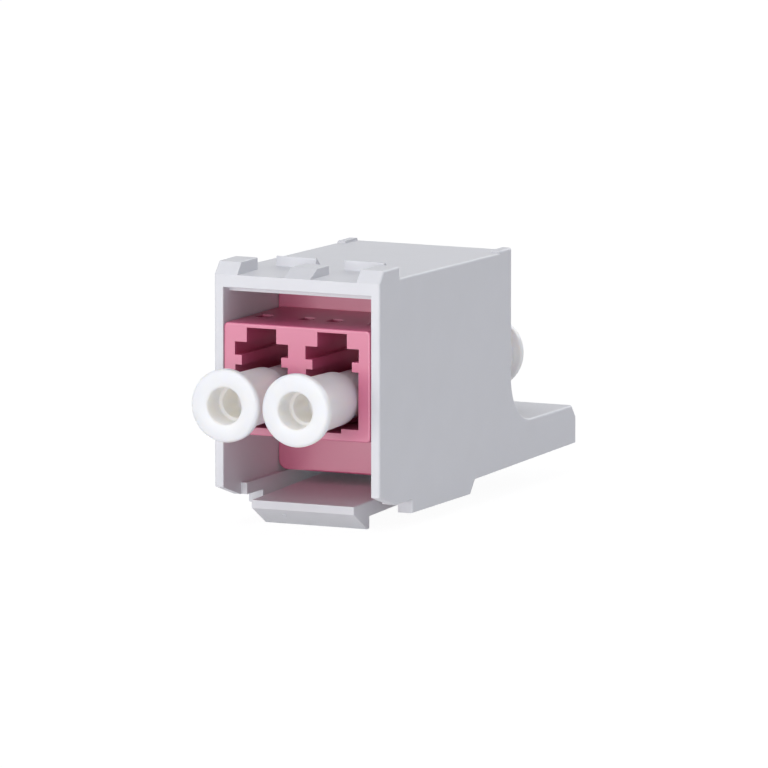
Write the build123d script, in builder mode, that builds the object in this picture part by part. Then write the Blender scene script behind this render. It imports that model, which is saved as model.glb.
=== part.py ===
"""Snap-in duplex fibre adapter for small ferrules, in a panel housing.

All lengths are in millimetres. The origin lies on the front face of the adapter, midway between its
two port axes. Y runs from the front face to the back, X across the two ports and Z up.
"""
from build123d import *
from math import radians, tan
import os

# Ports of the adapter, as seen from the front
port_pitch = 6.25
port_size = 4.65
neck_width = 3.50
neck_height = 0.78
cross_slot_width = 4.72
cross_slot_height = 1.08
notch_width = 2.62
notch_height = 1.18
key_width = 1.60
key_depth = 0.36
port_end_wall = 1.05

# Adapter shells, two alike mouldings joined flange to flange
shell_length = 11.75
shell_side_wall = 0.985
shell_floor = 1.00
shell_roof = 0.32
shell_corner = 0.35
shell_edge_round = 0.15
flange_thickness = 1.65
flange_step = 0.03
flange_rise = 2.30
flange_drop = 4.27
flange_corner = 0.80
window_width = 1.00
window_length = 1.50
window_start = 3.70
window_offset = 1.86

# Seats and split sleeves that line up the ferrules
seat_plate = 1.00
seat_margin = 1.225
seat_height = 5.20
seat_tube_diameter = 2.90
seat_tube_reach = 3.60
seat_lip = 0.25
seat_lip_bore = 1.38
seat_clearance = 0.05
ferrule_diameter = 1.25
sleeve_wall = 0.185
sleeve_length = 6.50
sleeve_slit = 0.20
sleeve_clearance = 0.05

# Dust caps
cap_reach = 6.90
cap_head_gap = 0.35
cap_head_thickness = 0.80
cap_head_round = 0.22
cap_barrel_taper = 0.15
cap_barrel_clearance = 0.145
cap_shoulder_depth = 0.60
cap_shoulder_round = 0.25
cap_stem_wall = 0.40
cap_stem_clearance = 0.05
cap_end_gap = 0.50
cap_hole_diameter = 3.00
cap_hole_depth = 2.20
cap_well_diameter = 2.40
cap_well_depth = 5.00
cap_web = 1.20

# Housing that snaps into the panel
housing_wall = 0.80
housing_overhang = 1.65
roof_thickness = 1.04
roof_fall = 0.36
ceiling_step = 0.40
ceiling_step_start = 1.20
skirt_drop = 1.105
lead_in_length = 3.20
lead_in_rise = 1.00
rail_width = 1.33
rail_height = 0.94
rail_start = 3.30
foot_depth = 1.09
foot_reach = 3.83
foot_run_out = 0.90
block_run_out = 0.30
panel_stop = 6.23
edge_round = 0.20
rim_round = 0.10

# Grips inside the housing that hold the adapter by its flange
grip_depth = 1.10
grip_length = 1.20
grip_ramp = 0.80
grip_width = 8.00
grip_clearance = 0.05
adapter_side_clearance = 0.03
adapter_top_clearance = 0.105
prop_width = 1.00
prop_spacing = 7.00
prop_clearance = 0.05
prop_end = 1.70

# Lugs, land, stops and ears on top of the housing
lug_width = 2.05
lug_length = 3.80
lug_height = 0.98
lug_slope = 0.85
land_width = 2.30
land_length = 3.60
land_height = 0.75
land_slope = 1.55
stop_width = 3.55
stop_gap = 2.50
stop_height = 0.95
stop_run_out = 1.40
ear_length = 2.30
ear_height = 0.22
ear_round = 0.15

# Shelf that runs back from the foot of the housing
shelf_reach = 12.65
shelf_gap = 1.805
shelf_taper = 0.34
shelf_chamfer_length = 0.80
shelf_chamfer_height = 1.00
gusset_radius = 3.90
pocket_roof = 1.00
pocket_rib = 0.90
pocket_columns = 3
pocket_rows = 3

# Latch tongue under the housing
latch_side_gap = 1.45
latch_front = 1.05
latch_drop = 0.04
latch_thickness = 1.25
latch_slope = 1.8
latch_land = 0.65
latch_ramp_length = 2.55
latch_hook_depth = 1.00
latch_tip = 0.42
latch_root_inset = 0.38
latch_root_clearance = 0.05
latch_lift_room = 0.40
latch_edge_round = 0.15

# Places that follow from the sizes above: the adapter
half_port = port_size / 2
port_places = [-port_pitch / 2, port_pitch / 2]
neck_top = half_port + neck_height
cross_slot_top = neck_top + cross_slot_height
notch_top = cross_slot_top + notch_height
shell_top = notch_top + shell_roof
shell_bottom = -half_port - shell_floor
shell_width = port_pitch + cross_slot_width + 2 * shell_side_wall
port_depth = shell_length - seat_plate - port_end_wall
flange_width = shell_width + 2 * flange_step
flange_top = shell_top + flange_rise
flange_bottom = shell_bottom - flange_drop
flange_front = shell_length - flange_thickness
flange_back = shell_length + flange_thickness
adapter_length = 2 * shell_length
seat_width = port_pitch + seat_tube_diameter + 2 * seat_margin
cap_head_diameter = port_pitch - cap_head_gap
cap_barrel_end_diameter = port_size - 2 * cap_barrel_clearance
cap_barrel_diameter = cap_barrel_end_diameter + 2 * cap_barrel_taper
cap_stem_diameter = seat_tube_diameter + 2 * (cap_stem_clearance + cap_stem_wall)

# Places that follow: the housing round the adapter, and the latch under it
half_inner = flange_width / 2 + adapter_side_clearance
half_housing = half_inner + housing_wall
housing_length = adapter_length + housing_overhang
ceiling = flange_top + adapter_top_clearance
roof_height = ceiling + ceiling_step + roof_thickness
roof_end_height = roof_height - roof_fall
grip_bottom = ceiling - grip_depth
skirt_depth = skirt_drop - flange_bottom
shelf_top = shelf_gap - shell_bottom
shelf_end = housing_length + shelf_reach
block_front = flange_back + grip_clearance
foot_end = block_front + foot_reach
latch_width = 2 * (half_housing - rail_width - latch_side_gap)
latch_front_depth = skirt_depth + latch_drop
latch_rise = tan(radians(latch_slope))
latch_root = foot_end - latch_root_inset
latch_root_depth = latch_front_depth - (latch_root - latch_front) * latch_rise + latch_thickness / 2
groove_radius = latch_thickness / 2 + latch_root_clearance
block_bottom = latch_root_depth - latch_thickness / 2 - latch_lift_room


def facing_front(y):
    """Plane across the ports at the given distance behind the front face."""
    return Plane.XZ.offset(-y)


def export(piece, name):
    """Labels a finished piece and writes it under its own name."""
    piece.part.label = name
    export_step(piece.part, f"parts/{name}.step")


def box_sketch(left, right, low, high):
    """Rectangle given by its four sides."""
    with Locations(((left + right) / 2, (low + high) / 2)):
        Rectangle(right - left, high - low)


os.makedirs("parts", exist_ok=True)

# Adapter shell, the front one: body, flange, ports, latch windows and the pocket for the seats
with BuildPart() as front_shell:
    with BuildSketch(facing_front(0)) as body_outline:
        box_sketch(-shell_width / 2, shell_width / 2, shell_bottom, shell_top)
        fillet(body_outline.vertices(), shell_corner)
    extrude(amount=-shell_length)
    fillet(front_shell.faces().sort_by(Axis.Y)[0].edges(), shell_edge_round)
    with BuildSketch(facing_front(flange_front)) as flange_outline:
        box_sketch(-flange_width / 2, flange_width / 2, flange_bottom, flange_top)
        fillet(flange_outline.vertices(), flange_corner)
    extrude(amount=-flange_thickness)
    flange_faces = front_shell.faces().filter_by(Axis.Y).sort_by(Axis.Y)
    fillet(flange_faces[1].outer_wire().edges(), shell_edge_round)
    with BuildSketch(facing_front(0)):
        for place in port_places:
            box_sketch(place - half_port, place + half_port, -half_port, half_port)
            box_sketch(place - neck_width / 2, place + neck_width / 2, 0, neck_top)
            box_sketch(place - cross_slot_width / 2, place + cross_slot_width / 2, neck_top, cross_slot_top)
            box_sketch(place - notch_width / 2, place + notch_width / 2, neck_top, notch_top)
            box_sketch(place - key_width / 2, place + key_width / 2, -half_port - key_depth, 0)
    extrude(amount=-port_depth, mode=Mode.SUBTRACT)
    with BuildSketch(Plane.XY.offset(shell_top)):
        for place in port_places:
            for side in (-window_offset, window_offset):
                middle = place + side
                window_end = window_start + window_length
                box_sketch(middle - window_width / 2, middle + window_width / 2, window_start, window_end)
    extrude(amount=neck_top - shell_top, mode=Mode.SUBTRACT)
    with BuildSketch(facing_front(port_depth)):
        with Locations(*[(place, 0) for place in port_places]):
            Circle(seat_tube_diameter / 2 + seat_clearance)
    extrude(amount=port_depth - shell_length, mode=Mode.SUBTRACT)
    with BuildSketch(facing_front(shell_length - seat_plate)):
        Rectangle(seat_width + 2 * seat_clearance, seat_height + 2 * seat_clearance)
    extrude(amount=-seat_plate, mode=Mode.SUBTRACT)
export(front_shell, "adapter_front_shell")

# The rear shell is the same moulding turned round, so it is the mirror image in the joint
with BuildPart() as rear_shell:
    add(front_shell.part)
    mirror(about=facing_front(shell_length), mode=Mode.REPLACE)
export(rear_shell, "adapter_rear_shell")

# Seat for the split sleeves: a plate with two tubes, each with a lip that keeps the sleeve in
sleeve_diameter = ferrule_diameter + 2 * sleeve_wall
seat_bore = sleeve_diameter + 2 * sleeve_clearance
with BuildPart() as front_seat:
    with BuildSketch(facing_front(shell_length - seat_plate)):
        Rectangle(seat_width, seat_height)
    extrude(amount=-seat_plate)
    with BuildSketch(facing_front(shell_length - seat_tube_reach)):
        with Locations(*[(place, 0) for place in port_places]):
            Circle(seat_tube_diameter / 2)
    extrude(amount=-seat_tube_reach)
    with BuildSketch(facing_front(shell_length - seat_tube_reach)):
        with Locations(*[(place, 0) for place in port_places]):
            Circle(seat_lip_bore / 2)
    extrude(amount=-seat_tube_reach, mode=Mode.SUBTRACT)
    with BuildSketch(facing_front(shell_length - seat_tube_reach + seat_lip)):
        with Locations(*[(place, 0) for place in port_places]):
            Circle(seat_bore / 2)
    extrude(amount=seat_lip - seat_tube_reach, mode=Mode.SUBTRACT)
export(front_seat, "sleeve_seat_front")

with BuildPart() as rear_seat:
    add(front_seat.part)
    mirror(about=facing_front(shell_length), mode=Mode.REPLACE)
export(rear_seat, "sleeve_seat_rear")

# Split ceramic sleeves, slit along the top
for place, side in zip(port_places, ("left", "right")):
    with BuildPart() as sleeve:
        with BuildSketch(facing_front(shell_length)):
            with Locations((place, 0)):
                Circle(sleeve_diameter / 2)
                Circle(ferrule_diameter / 2, mode=Mode.SUBTRACT)
                with Locations((0, sleeve_diameter / 2)):
                    Rectangle(sleeve_slit, sleeve_diameter, mode=Mode.SUBTRACT)
        extrude(amount=sleeve_length / 2, both=True)
    export(sleeve, f"split_sleeve_{side}")

# Dust cap, turned about its own axis: head, tapered barrel, shoulder and hollow stem
stem_end = port_depth - cap_end_gap
stem_bore = seat_tube_diameter + 2 * cap_stem_clearance
head_back = cap_head_thickness - cap_reach
with BuildPart() as cap:
    with BuildSketch(Plane.XY) as cap_section:
        with BuildLine():
            Polyline(
                (0, -cap_reach),
                (cap_head_diameter / 2, -cap_reach),
                (cap_head_diameter / 2, head_back),
                (cap_barrel_diameter / 2, head_back),
                (cap_barrel_end_diameter / 2, cap_shoulder_depth),
                (cap_stem_diameter / 2, cap_shoulder_depth),
                (cap_stem_diameter / 2, stem_end),
                (0, stem_end),
                close=True,
            )
        make_face()
        rim = cap_section.vertices().group_by(Axis.X)[-1]
        fillet(rim, cap_head_round)
        shoulder = cap_section.vertices().sort_by_distance((cap_barrel_end_diameter / 2, cap_shoulder_depth))
        fillet(shoulder[0], cap_shoulder_round)
        box_sketch(0, cap_hole_diameter / 2, -cap_reach, cap_hole_depth - cap_reach)
    revolve(axis=Axis.Y)
    with BuildSketch(facing_front(-cap_reach)):
        Circle(cap_hole_diameter / 2)
    extrude(amount=-cap_hole_depth, mode=Mode.SUBTRACT)
    with BuildSketch(facing_front(-cap_reach)):
        Circle(cap_well_diameter / 2)
    extrude(amount=-cap_well_depth, mode=Mode.SUBTRACT)
    with BuildSketch(facing_front(cap_well_depth + cap_web - cap_reach)):
        Circle(stem_bore / 2)
    extrude(amount=cap_well_depth + cap_web - cap_reach - stem_end, mode=Mode.SUBTRACT)

for place, side in zip(port_places, ("left", "right")):
    with BuildPart() as front_cap:
        with Locations((place, 0, 0)):
            add(cap.part)
    export(front_cap, f"dust_cap_front_{side}")
    with BuildPart() as rear_cap:
        with Locations(Location((place, adapter_length, 0), (0, 0, 180))):
            add(cap.part)
    export(rear_cap, f"dust_cap_rear_{side}")

# Housing: side walls with the shelf's flanks, roof, floor block, rails, feet and grips
with BuildPart() as housing:
    with BuildSketch(Plane.YZ.offset(half_inner)):
        with BuildLine():
            Polyline(
                (housing_length, gusset_radius - shelf_top),
                (housing_length, roof_end_height),
                (panel_stop, roof_height),
                (0, roof_height),
                (0, lead_in_rise - skirt_depth),
                (lead_in_length, -skirt_depth),
                (foot_end + foot_run_out, -skirt_depth),
                (shelf_end, shelf_taper - skirt_depth),
                (shelf_end, -shelf_top - shelf_chamfer_height),
                (shelf_end - shelf_chamfer_length, -shelf_top),
                (housing_length + gusset_radius, -shelf_top),
            )
            RadiusArc(
                (housing_length + gusset_radius, -shelf_top),
                (housing_length, gusset_radius - shelf_top),
                gusset_radius,
            )
        make_face()
    extrude(amount=housing_wall)
    with BuildSketch(Plane.YZ.offset(half_housing - rail_width)):
        with BuildLine():
            Polyline(
                (rail_start, rail_height - skirt_depth),
                (rail_start, -skirt_depth),
                (panel_stop, -skirt_depth),
                (panel_stop, -skirt_depth - foot_depth),
                (foot_end, -skirt_depth - foot_depth),
                (foot_end + foot_run_out, -skirt_depth),
                (foot_end + foot_run_out, rail_height - skirt_depth),
                close=True,
            )
        make_face()
    extrude(amount=rail_width)
    with BuildSketch(Plane.YZ.offset(half_housing)):
        with BuildLine():
            Polyline(
                (0, roof_height),
                (0, roof_height - roof_thickness),
                (lug_length, roof_height - roof_thickness),
                (lug_length, roof_height + lug_height),
                (lug_slope, roof_height + lug_height),
                close=True,
            )
        make_face()
    extrude(amount=-lug_width)
    with BuildSketch(Plane.YZ.offset(half_housing)) as ear:
        ear_front = housing_length - ear_length
        box_sketch(ear_front, housing_length, roof_end_height - ear_height, roof_end_height + ear_height)
        fillet(ear.vertices().group_by(Axis.Z)[-1], ear_round)
    extrude(amount=-housing_wall)
    with BuildSketch(Plane.YZ.offset(stop_gap / 2)):
        with BuildLine():
            Polyline(
                (panel_stop, roof_height - roof_thickness),
                (panel_stop, roof_height + stop_height),
                (panel_stop + stop_run_out, roof_height - roof_fall),
                (panel_stop + stop_run_out, roof_height - roof_thickness),
                close=True,
            )
        make_face()
    extrude(amount=stop_width)
    mirror(about=Plane.YZ)
    with BuildSketch(Plane.YZ):
        with BuildLine():
            Polyline(
                (0, roof_height - roof_thickness),
                (0, roof_height),
                (panel_stop, roof_height),
                (housing_length, roof_end_height),
                (housing_length, ceiling),
                (ceiling_step_start, ceiling),
                (ceiling_step_start, roof_height - roof_thickness),
                close=True,
            )
        make_face()
    extrude(amount=half_inner, both=True)
    with BuildSketch(Plane.YZ):
        with BuildLine():
            Polyline(
                (0, roof_height - roof_thickness),
                (0, roof_height),
                (land_slope, roof_height + land_height),
                (land_length, roof_height + land_height),
                (land_length, roof_height - roof_thickness),
                close=True,
            )
        make_face()
    extrude(amount=land_width / 2, both=True)
    with BuildSketch(Plane.YZ):
        with BuildLine():
            Polyline(
                (block_front, -block_bottom),
                (block_front, -shelf_top),
                (shelf_end - shelf_chamfer_length, -shelf_top),
                (shelf_end, -shelf_top - shelf_chamfer_height),
                (shelf_end, shelf_taper - skirt_depth),
                (foot_end + foot_run_out, -skirt_depth),
                (foot_end + block_run_out, -latch_root_depth - latch_thickness / 2),
                (latch_root, -latch_root_depth - latch_thickness / 2),
                (latch_root, -block_bottom),
                close=True,
            )
        make_face()
    extrude(amount=half_inner, both=True)
    with BuildSketch(Plane.YZ):
        with Locations((latch_root, -latch_root_depth)):
            Circle(groove_radius)
    extrude(amount=half_housing - rail_width, both=True, mode=Mode.SUBTRACT)
    with BuildSketch(Plane.YZ):
        with BuildLine():
            grip_back = flange_front - grip_clearance
            Polyline(
                (grip_back - grip_length, ceiling),
                (grip_back - grip_length + grip_ramp, grip_bottom),
                (grip_back, grip_bottom),
                (grip_back, ceiling),
                close=True,
            )
        make_face()
        box_sketch(block_front, block_front + grip_length, grip_bottom, ceiling)
    extrude(amount=grip_width / 2, both=True)
    with BuildSketch(Plane.YZ):
        box_sketch(block_front, adapter_length - prop_end, -shelf_top, shell_bottom - prop_clearance)
    extrude(amount=prop_spacing / 2 + prop_width / 2, both=True)
    with BuildSketch(Plane.YZ):
        box_sketch(block_front, adapter_length - prop_end, -shelf_top, shell_bottom - prop_clearance)
    extrude(amount=prop_spacing / 2 - prop_width / 2, both=True, mode=Mode.SUBTRACT)
    pocket_front = foot_end + foot_run_out + pocket_rib
    pocket_width = (2 * half_inner - (pocket_columns - 1) * pocket_rib) / pocket_columns
    pocket_length = (shelf_end - pocket_front - pocket_rows * pocket_rib) / pocket_rows
    with BuildSketch(Plane.XY.offset(-shelf_top - pocket_roof)):
        with Locations((0, (pocket_front + shelf_end - pocket_rib) / 2)):
            with GridLocations(
                pocket_width + pocket_rib, pocket_length + pocket_rib, pocket_columns, pocket_rows
            ):
                Rectangle(pocket_width, pocket_length)
    extrude(amount=shelf_top + pocket_roof - skirt_depth, mode=Mode.SUBTRACT)
    # Soft edges: round both sides, round the mouth, and on top of the lugs, the land and the stops
    side_faces = housing.faces().sort_by(Axis.X)
    fillet(side_faces[0].edges() + side_faces[-1].edges(), edge_round)
    mouth_edges = housing.faces().sort_by(Axis.Y)[0].edges()
    mouth_edges = mouth_edges.filter_by_position(Axis.X, -half_inner - rim_round, half_inner + rim_round)
    fillet(mouth_edges.filter_by_position(Axis.Z, -skirt_depth, ceiling + roof_thickness), rim_round)
    raised_edges = housing.edges().filter_by_position(Axis.X, -half_inner, half_inner)
    raised_line = roof_height + land_height - rim_round
    fillet(raised_edges.filter_by_position(Axis.Z, raised_line, roof_height + 2 * lug_height), rim_round)
export(housing, "panel_housing")

# Latch tongue: a long springy arm with the hook at its front and its root in the housing's floor
def tongue_top(y):
    """Height of the tongue's top face at a distance behind the front."""
    return (y - latch_front) * latch_rise - latch_front_depth


with BuildPart() as latch:
    ramp_end = latch_front + latch_ramp_length
    hook_back = ramp_end + latch_tip
    hook_bottom = tongue_top(hook_back) - latch_thickness - latch_hook_depth
    with BuildSketch(Plane.YZ) as latch_outline:
        with BuildLine():
            Polyline(
                (latch_front, tongue_top(latch_front)),
                (latch_root, tongue_top(latch_root)),
                (latch_root, tongue_top(latch_root) - latch_thickness),
                (hook_back, tongue_top(hook_back) - latch_thickness),
                (hook_back, hook_bottom),
                (ramp_end, hook_bottom),
                (latch_front, tongue_top(latch_front) - latch_land),
                close=True,
            )
        make_face()
        front_corners = latch_outline.vertices().group_by(Axis.Y)[0]
        fillet(front_corners, latch_edge_round)
        with Locations((latch_root, -latch_root_depth)):
            Circle(latch_thickness / 2)
    extrude(amount=latch_width / 2, both=True)
    latch_sides = latch.faces().sort_by(Axis.X)
    fillet(latch_sides[0].edges() + latch_sides[-1].edges(), rim_round)
export(latch, "panel_latch")
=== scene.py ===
# %% [markdown]
# # A duplex fibre adapter in its snap-in panel housing
#
# The real object is a white moulded housing that clicks into a panel. Inside it sits a red violet
# adapter with two ports, and each port is closed by a waxy white dust cap. The CAD frame already holds
# every solid at its true size. This lesson dresses it: camera, light, moulded finishes, and the pieces
# whose shape is easier to turn or press in Blender.

# %% Load the frame and keep its box
from math import cos, pi, radians, sin

import bmesh
import bpy
from mathutils import Matrix, Vector


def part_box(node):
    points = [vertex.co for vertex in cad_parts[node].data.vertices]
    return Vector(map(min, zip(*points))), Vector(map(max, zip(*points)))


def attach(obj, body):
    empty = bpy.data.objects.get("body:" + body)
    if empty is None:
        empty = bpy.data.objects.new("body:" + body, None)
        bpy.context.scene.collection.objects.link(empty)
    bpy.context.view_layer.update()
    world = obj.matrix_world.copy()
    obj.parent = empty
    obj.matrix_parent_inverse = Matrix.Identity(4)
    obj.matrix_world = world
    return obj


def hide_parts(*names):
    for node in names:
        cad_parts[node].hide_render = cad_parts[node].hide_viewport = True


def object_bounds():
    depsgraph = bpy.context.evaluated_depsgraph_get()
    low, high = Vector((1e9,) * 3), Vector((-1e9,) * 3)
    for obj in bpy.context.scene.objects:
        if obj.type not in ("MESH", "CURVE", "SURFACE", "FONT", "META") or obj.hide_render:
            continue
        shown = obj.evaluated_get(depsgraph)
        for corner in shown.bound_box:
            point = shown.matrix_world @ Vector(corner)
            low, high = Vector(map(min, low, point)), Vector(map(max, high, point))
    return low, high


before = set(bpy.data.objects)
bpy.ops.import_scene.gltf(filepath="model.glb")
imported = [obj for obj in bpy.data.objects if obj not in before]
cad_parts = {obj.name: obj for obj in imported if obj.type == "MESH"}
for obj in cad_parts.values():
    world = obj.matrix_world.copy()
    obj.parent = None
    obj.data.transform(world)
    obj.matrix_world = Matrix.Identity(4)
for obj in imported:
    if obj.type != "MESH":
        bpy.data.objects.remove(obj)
cad_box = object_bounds()
mm = 0.001
print("CAD nodes:", sorted(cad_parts))
print("CAD box:", [[round(v, 5) for v in corner] for corner in cad_box])

# %% [markdown]
# ## Camera
#
# The photograph was taken with a long lens from the front, turned to the right side of the housing and a
# little above it. Its picture is stretched sideways, so the round cap heads look like flat ovals. The
# camera here keeps the true shape: it takes the photograph's direction, distance and width, and leaves
# the stretch out. The camera's three own directions are worked out from the two angles, which is shorter
# than aiming it with a constraint, and leaves nothing live in the file.

# %% Place the camera
camera_azimuth = radians(25.22)
camera_elevation = radians(8.33)
camera_distance = 1178.5 * mm
picture_width = 768
sensor_width = 36.0
pixels_per_mm = 12.405
sideways = 1.855 * mm
upwards = -0.516 * mm
object_middle = Vector((0, 12 * mm, 0))

right = Vector((cos(camera_azimuth), sin(camera_azimuth), 0))
back = Vector((
    sin(camera_azimuth) * cos(camera_elevation),
    -cos(camera_azimuth) * cos(camera_elevation),
    sin(camera_elevation),
))
up = back.cross(right)
middle = object_middle + sideways * right + upwards * up

camera_data = bpy.data.cameras.new("camera")
camera_data.sensor_width = sensor_width
camera_data.lens = sensor_width * pixels_per_mm * camera_distance / mm / picture_width
camera_data.clip_start = 0.05
camera_data.clip_end = 20.0
camera = bpy.data.objects.new("camera", camera_data)
bpy.context.scene.collection.objects.link(camera)
turn = Matrix((right, up, back)).transposed().to_4x4()
camera.matrix_world = Matrix.Translation(middle + camera_distance * back) @ turn
bpy.context.scene.camera = camera
print("lens:", round(camera_data.lens, 1), "mm")

# %% [markdown]
# ## A small language for shader nodes
#
# A finish is a sum of patterns. Written as nodes it is long, and written as sums it is short. This class
# wraps one socket, so that `0.4 + cloud * 0.1` adds the Math nodes itself, and one method makes any
# other node.

# %% Wire: a socket that can be added and multiplied
class Wire:
    """One output socket of a node tree."""

    def __init__(self, tree, socket=None):
        self.tree = tree
        self.socket = socket

    def node(self, kind, settings=None, sockets=None, out=0):
        """Adds a node: its settings first, then the values or wires of its sockets."""
        made = self.tree.nodes.new(kind)
        for name, value in (settings or {}).items():
            setattr(made, name, value)
        for name, value in (sockets or {}).items():
            if isinstance(value, Wire):
                self.tree.links.new(value.socket, made.inputs[name])
            else:
                made.inputs[name].default_value = value
        return Wire(self.tree, made.outputs[out])

    def also(self, out):
        """Another output of the same node."""
        return Wire(self.tree, self.socket.node.outputs[out])

    def maths(self, operation, first, second=0.0):
        return self.node("ShaderNodeMath", {"operation": operation}, {0: first, 1: second})

    def __add__(self, other):
        return self.maths("ADD", self, other)

    def __radd__(self, other):
        return self.maths("ADD", other, self)

    def __sub__(self, other):
        return self.maths("SUBTRACT", self, other)

    def __rsub__(self, other):
        return self.maths("SUBTRACT", other, self)

    def __mul__(self, other):
        return self.maths("MULTIPLY", self, other)

    def feed(self, socket):
        """Links this wire to a socket of a shader or an output."""
        self.tree.links.new(self.socket, socket)


# %% [markdown]
# ## Floor and background
#
# The photograph's background is plain white. The floor is a white sheet. What the camera sees of it is
# mostly its own light, which makes it white without any more light on the object, and the rest is the
# sheet as it is lit, so the object's soft shadow stays. Seen from below, the sheet is clear.

# %% Floor and world
def seen(tree):
    """1 for rays from the camera, a glossy surface or glass, else 0."""
    direct = Wire(tree).node("ShaderNodeLightPath", out="Is Camera Ray")
    any_of = direct + direct.also("Is Glossy Ray") + direct.also("Is Transmission Ray")
    return direct.maths("MINIMUM", any_of, 1.0)


def new_tree(owner):
    """Empties the node tree of a material or world and returns it."""
    owner.use_nodes = True
    owner.node_tree.nodes.clear()
    return owner.node_tree


floor_size = 3.0
floor_gap = 0.02 * mm
paper_colour = (0.90, 0.90, 0.91, 1)
plain_white = (1, 1, 1, 1)
sheet_share = 0.88
sheet_strength = 1.08
room_colour = (0.895, 0.915, 1, 1)
room_strength = 0.285
floor_mesh = bpy.data.meshes.new("floor")
grid = bmesh.new()
bmesh.ops.create_grid(grid, x_segments=1, y_segments=1, size=floor_size)
bmesh.ops.translate(grid, verts=grid.verts, vec=(0, 0, cad_box[0][2] - floor_gap))
grid.to_mesh(floor_mesh)
grid.free()
floor = bpy.data.objects.new("floor", floor_mesh)
bpy.context.scene.collection.objects.link(floor)

floor_white = bpy.data.materials.new("floor_white")
tree = new_tree(floor_white)
looked_at = seen(tree)
paper = Wire(tree).node("ShaderNodeBsdfDiffuse", None, {"Color": paper_colour})
light = Wire(tree).node("ShaderNodeEmission", None, {"Color": plain_white, "Strength": sheet_strength})
clear = Wire(tree).node("ShaderNodeBsdfTransparent")
sheet = Wire(tree).node("ShaderNodeMixShader", None, {0: looked_at * sheet_share, 1: paper, 2: light})
below = Wire(tree).node("ShaderNodeNewGeometry", out="Backfacing")
surface = Wire(tree).node("ShaderNodeMixShader", None, {0: below, 1: sheet, 2: clear})
surface.feed(tree.nodes.new("ShaderNodeOutputMaterial").inputs["Surface"])
floor_mesh.materials.append(floor_white)

studio = bpy.data.worlds.new("studio")
bpy.context.scene.world = studio
tree = new_tree(studio)
looked_at = seen(tree)
room = Wire(tree).node("ShaderNodeBackground", None, {"Color": room_colour, "Strength": room_strength})
white = Wire(tree).node("ShaderNodeBackground", None, {"Color": plain_white, "Strength": 1.0})
sky = Wire(tree).node("ShaderNodeMixShader", None, {0: looked_at, 1: room, 2: white})
sky.feed(tree.nodes.new("ShaderNodeOutputWorld").inputs["Surface"])
bpy.context.scene.view_settings.view_transform = "Standard"
print("floor at z =", round((cad_box[0][2] - floor_gap) / mm, 3), "mm")

# %% [markdown]
# ## Studio light
#
# In the photograph the front faces are brightest, the roof is a step darker and the right side is a cool
# grey. Light reaches the flange deep inside the housing, so a narrow softbox stands almost in front and
# very low. A weaker one on the left models the front faces, one above lights the roof, one behind reaches
# the rear caps, and the room gives the even rest. A softbox is an area lamp: the larger it is, the softer
# its shadow.

# %% Softboxes
lamp_distance = 0.9


def softbox(name, azimuth, elevation, size, watts, tint):
    """Adds an area lamp aimed at the object. Azimuth 0 is in front, 90 at the right."""
    data = bpy.data.lights.new(name, "AREA")
    data.shape = "RECTANGLE"
    data.size, data.size_y = size
    data.energy = watts
    data.color = tint
    lamp = bpy.data.objects.new(name, data)
    bpy.context.scene.collection.objects.link(lamp)
    turned, raised = radians(azimuth), radians(elevation)
    away = Vector((sin(turned) * cos(raised), -cos(turned) * cos(raised), sin(raised)))
    aim = away.to_track_quat("Z", "Y").to_matrix().to_4x4()
    lamp.matrix_world = Matrix.Translation(middle + lamp_distance * away) @ aim


softbox("key", azimuth=-22, elevation=16, size=(0.8, 0.4), watts=0.95, tint=(1, 0.99, 0.975))
softbox("fill", azimuth=4, elevation=3, size=(0.8, 0.10), watts=3.3, tint=(1, 0.995, 0.985))
softbox("top", azimuth=0, elevation=60, size=(0.6, 0.6), watts=2.75, tint=(0.985, 0.99, 1))
softbox("rear", azimuth=165, elevation=25, size=(0.8, 0.4), watts=2.7, tint=(0.98, 0.99, 1))

# %% [markdown]
# ## Moulded plastic
#
# All the plastic is injection moulded and new. Such a surface isn't flat: the steel of the mould leaves a
# fine grain, and the plastic shrinks a little over thick places. The grain and that slow wave go into the
# Bump and change the roughness a little, and the wave shades the colour faintly. The patterns read Object
# coordinates, so they have the same size on every piece.
#
# The dust caps are of a softer, waxy plastic that light enters, so its shadows are pale. Inside the hole,
# near the cap's axis, the colour is a brighter cream: painted glow that stands for light carried through
# the plastic.

# %% Moulded finish
cap_low, cap_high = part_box("dust_cap_front_right")
cap_axis = (cap_low[0] + cap_high[0]) / 2
hole_edge = 1.62 * mm
hole_blend = 0.14 * mm
cloud_size = 3.2 * mm
cloud_roughness = 0.10
speck_roughness = 0.08
brightest = 0.97
colour_reach = (1, 0.85, 0.65)


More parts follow.
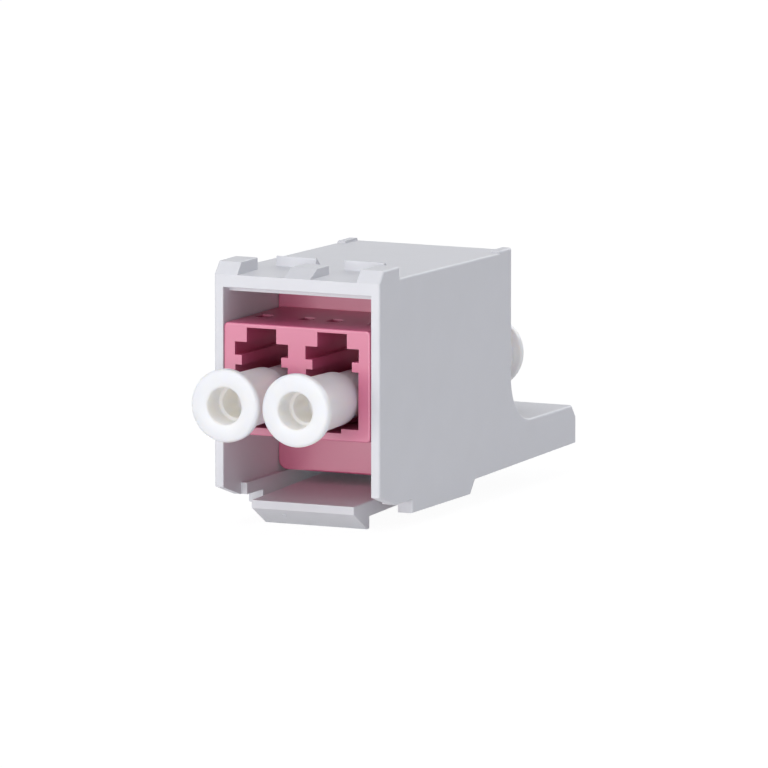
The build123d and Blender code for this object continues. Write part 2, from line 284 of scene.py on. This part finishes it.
def moulded(
    name, colour, roughness, grain, depth,
    wave=0.004, shade=0.03, gloss=1.49, soft=0.0, reach=0.6, hole=None,
):
    """Plastic with a mould grain of that size and depth in millimetres, and light that reaches that deep."""
    material = bpy.data.materials.new(name)
    material.use_nodes = True
    tree = material.node_tree
    shader = tree.nodes["Principled BSDF"]
    shader.inputs["IOR"].default_value = gloss
    shader.inputs["Subsurface Weight"].default_value = soft
    shader.inputs["Subsurface Radius"].default_value = colour_reach
    shader.inputs["Subsurface Scale"].default_value = reach * mm

    start = Wire(tree)
    here = start.node("ShaderNodeTexCoord", out="Object")
    cloud = start.node("ShaderNodeTexNoise", None, {"Vector": here, "Scale": 1 / cloud_size, "Detail": 2.0})
    speck = start.node("ShaderNodeTexNoise", None, {"Vector": here, "Scale": 1 / (grain * mm), "Detail": 3.0})
    dark = tuple(v * (1 - shade) for v in colour) + (1,)
    pale = tuple(min(v * (1 + shade), brightest) for v in colour) + (1,)
    mixed = start.node("ShaderNodeMix", {"data_type": "RGBA"}, {0: cloud, 6: dark, 7: pale}, out=2)
    # Inside the cap's hole the colour turns to a brighter cream: painted glow for light carried through the
    # plastic.
    if hole:
        across = here.node("ShaderNodeSeparateXYZ", None, {0: here}, out="X")
        upright = across.also("Z")
        aside = across.maths("ABSOLUTE", across) - cap_axis
        out = across.maths("SQRT", aside * aside + upright * upright)
        clamped = {"operation": "MULTIPLY", "use_clamp": True}
        inside = start.node("ShaderNodeMath", clamped, {0: hole_edge - out, 1: 1 / hole_blend})
        painted_hole_glow = {0: inside, 6: mixed, 7: hole + (1,)}
        mixed = start.node("ShaderNodeMix", {"data_type": "RGBA"}, painted_hole_glow, out=2)
    mixed.feed(shader.inputs["Base Color"])
    rough = roughness + (cloud - 0.5) * cloud_roughness + (speck - 0.5) * speck_roughness
    rough.feed(shader.inputs["Roughness"])
    height = speck * depth + cloud * wave
    relief = {"Height": height, "Distance": mm, "Strength": 1.0}
    bump = start.node("ShaderNodeBump", None, relief, out="Normal")
    bump.feed(shader.inputs["Normal"])
    return material


violet = (0.57, 0.088, 0.205)
finishes = {
    "housing_white": moulded(
        "housing_moulded_white", (0.72, 0.723, 0.755), roughness=0.44, grain=0.11, depth=0.0035, soft=0.05
    ),
    "shell_violet": moulded(
        "shell_moulded_violet", violet, roughness=0.37, grain=0.10, depth=0.0030, gloss=2.3
    ),
    "seat_natural": moulded("seat_moulded_violet", violet, roughness=0.40, grain=0.10, depth=0.0025),
    # The caps' hole colour is painted glow, brighter and creamier than the cap's own colour.
    "cap_white": moulded(
        "cap_waxy_white", (0.93, 0.925, 0.915), roughness=0.38, grain=0.16, depth=0.0022,
        shade=0.015, soft=0.7, reach=2.4, hole=(0.96, 0.93, 0.885),
    ),
    "sleeve_ceramic": moulded(
        "sleeve_polished_ceramic", (0.86, 0.85, 0.80), roughness=0.16, grain=0.30, depth=0.0004, wave=0.001
    ),
}
print("finishes:", sorted(finishes))

# %% Put the finishes on the CAD nodes
slot_of_node = {
    "panel_housing": "housing_white",
    "panel_latch": "housing_white",
    "adapter_front_shell": "shell_violet",
    "adapter_rear_shell": "shell_violet",
    "sleeve_seat_front": "seat_natural",
    "sleeve_seat_rear": "seat_natural",
    "split_sleeve_left": "sleeve_ceramic",
    "split_sleeve_right": "sleeve_ceramic",
}
for node, slot in slot_of_node.items():
    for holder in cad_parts[node].material_slots:
        holder.material = finishes[slot]
print("dressed:", len(slot_of_node), "nodes")

# %% [markdown]
# ## Dust caps
#
# A dust cap is moulded in soft polythene and is round all over, so it is one outline turned about its
# axis. It has a rounded head with a stepped hole, a barrel that tapers towards the port, and a hollow
# stem that grips the tube inside. The outline is a short list of points, each with the rounding of its
# edge. Spinning it and then bevelling each ring also rounds the edges of the hole and the stem, where the
# CAD solid rounds only the head and the shoulder.

# %% Turn a cap
cap_steps = 96
edge_segments = 4
sharp_angle = radians(40)
near = 1e-7
head_radius = 2.95 * mm
head_depth = 0.8 * mm
hole_radius = 1.5 * mm
hole_depth = 2.2 * mm
well_radius = 1.2 * mm
well_depth = 5.0 * mm
barrel_front_radius = 2.33 * mm
barrel_back_radius = 2.18 * mm
shoulder_depth = 0.6 * mm
stem_radius = 1.9 * mm
stem_bore_radius = 1.5 * mm
web_depth = 6.2 * mm


def cap_outline(front, end):
    """(radius, distance along the axis, rounding) from the hole's middle round to the stem's bore."""
    return [
        (0.0, front + well_depth, 0),
        (well_radius, front + well_depth, 0.25 * mm),
        (well_radius, front + hole_depth, 0.10 * mm),
        (hole_radius, front + hole_depth, 0.08 * mm),
        (hole_radius, front, 0.16 * mm),
        (head_radius, front, 0.26 * mm),
        (head_radius, front + head_depth, 0.14 * mm),
        (barrel_front_radius, front + head_depth, 0.08 * mm),
        (barrel_back_radius, shoulder_depth, 0.22 * mm),
        (stem_radius, shoulder_depth, 0),
        (stem_radius, end, 0.12 * mm),
        (stem_bore_radius, end, 0.10 * mm),
        (stem_bore_radius, front + web_depth, 0.15 * mm),
        (0.0, front + web_depth, 0),
    ]


def turn_cap(node, body, rear):
    """Spins the outline where the CAD cap stands and lets it stand for that cap."""
    low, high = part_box(node)
    centre = (low[0] + high[0]) / 2
    shells_end = 2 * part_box("adapter_front_shell")[1][1]
    if rear:
        front, end = shells_end - high[1], shells_end - low[1]
    else:
        front, end = low[1], high[1]
    outline = cap_outline(front, end)

    work = bmesh.new()
    points = [work.verts.new((radius, along, 0)) for radius, along, _ in outline]
    edges = [work.edges.new(pair) for pair in zip(points, points[1:])]
    bmesh.ops.spin(
        work, geom=points + edges, cent=(0, 0, 0), axis=(0, 1, 0), angle=2 * pi, steps=cap_steps,
        use_merge=True,
    )
    bmesh.ops.remove_doubles(work, verts=work.verts, dist=near)
    bmesh.ops.recalc_face_normals(work, faces=work.faces)
    for radius, along, rounding in outline:
        if rounding:
            ring = [
                edge for edge in work.edges
                if all(
                    abs(v.co.y - along) < near
                    and abs(Vector((v.co.x, v.co.z)).length - radius) < 10 * near
                    for v in edge.verts
                )
            ]
            bmesh.ops.bevel(
                work, geom=ring, offset=rounding, offset_type="OFFSET", affect="EDGES",
                segments=edge_segments, profile=0.5, material=-1, clamp_overlap=True,
            )
    if rear:
        half_turn = Matrix.Rotation(pi, 3, "Z")
        bmesh.ops.rotate(work, verts=work.verts, cent=(0, 0, 0), matrix=half_turn)
        bmesh.ops.translate(work, verts=work.verts, vec=(0, shells_end, 0))
    bmesh.ops.translate(work, verts=work.verts, vec=(centre, 0, 0))

    mesh = bpy.data.meshes.new(f"turned_{body}")
    work.to_mesh(mesh)
    work.free()
    mesh.shade_smooth()
    mesh.set_sharp_from_angle(angle=sharp_angle)
    piece = bpy.data.objects.new(f"turned_{body}", mesh)
    bpy.context.scene.collection.objects.link(piece)
    mesh.materials.append(finishes["cap_white"])
    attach(piece, body)
    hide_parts(node)
    return piece


for end_name in ("front", "rear"):
    for side in ("left", "right"):
        cap = turn_cap(f"dust_cap_{end_name}_{side}", f"cap_{end_name}_{side}", end_name == "rear")
        print(cap.name, len(cap.data.polygons), "faces")

# %% [markdown]
# ## Gate mark
#
# Plastic enters the mould of the latch through a small gate, and where it was broken off a low stub stays
# on the hook's front slope. A ray shot up from below finds the slope, so that the stub stands square on it.

# %% Set the gate mark on the hook
gate_radius = 0.17 * mm
gate_height = 0.10 * mm
gate_sunk = 0.03 * mm
gate_x = -2.06 * mm
gate_y = 1.95 * mm
gate_rim_round = 0.04 * mm
gate_rim_segments = 3
gate_steps = 32
ray_start = Vector((gate_x, gate_y, cad_box[0][2] - 1 * mm))
found, spot, slope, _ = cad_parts["panel_latch"].ray_cast(ray_start, Vector((0, 0, 1)))
stub = bmesh.new()
bmesh.ops.create_cone(
    stub, cap_ends=True, cap_tris=False, segments=gate_steps, radius1=gate_radius, radius2=gate_radius,
    depth=gate_height + gate_sunk,
)
rim = [edge for edge in stub.edges if all(v.co.z > 0 for v in edge.verts)]
bmesh.ops.bevel(
    stub, geom=rim, offset=gate_rim_round, offset_type="OFFSET", affect="EDGES",
    segments=gate_rim_segments, profile=0.5, material=-1,
)
upright = slope.to_track_quat("Z", "Y").to_matrix().to_4x4()
stand = Matrix.Translation(spot + slope * (gate_height - gate_sunk) / 2) @ upright
bmesh.ops.transform(stub, matrix=stand, verts=stub.verts)
gate_mesh = bpy.data.meshes.new("gate_mark")
stub.to_mesh(gate_mesh)
stub.free()
gate_mesh.shade_smooth()
gate_mesh.set_sharp_from_angle(angle=sharp_angle)
gate_mesh.materials.append(finishes["housing_white"])
gate = bpy.data.objects.new("gate_mark", gate_mesh)
bpy.context.scene.collection.objects.link(gate)
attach(gate, "latch")
print("gate mark on the hook:", found, [round(v / mm, 2) for v in spot])
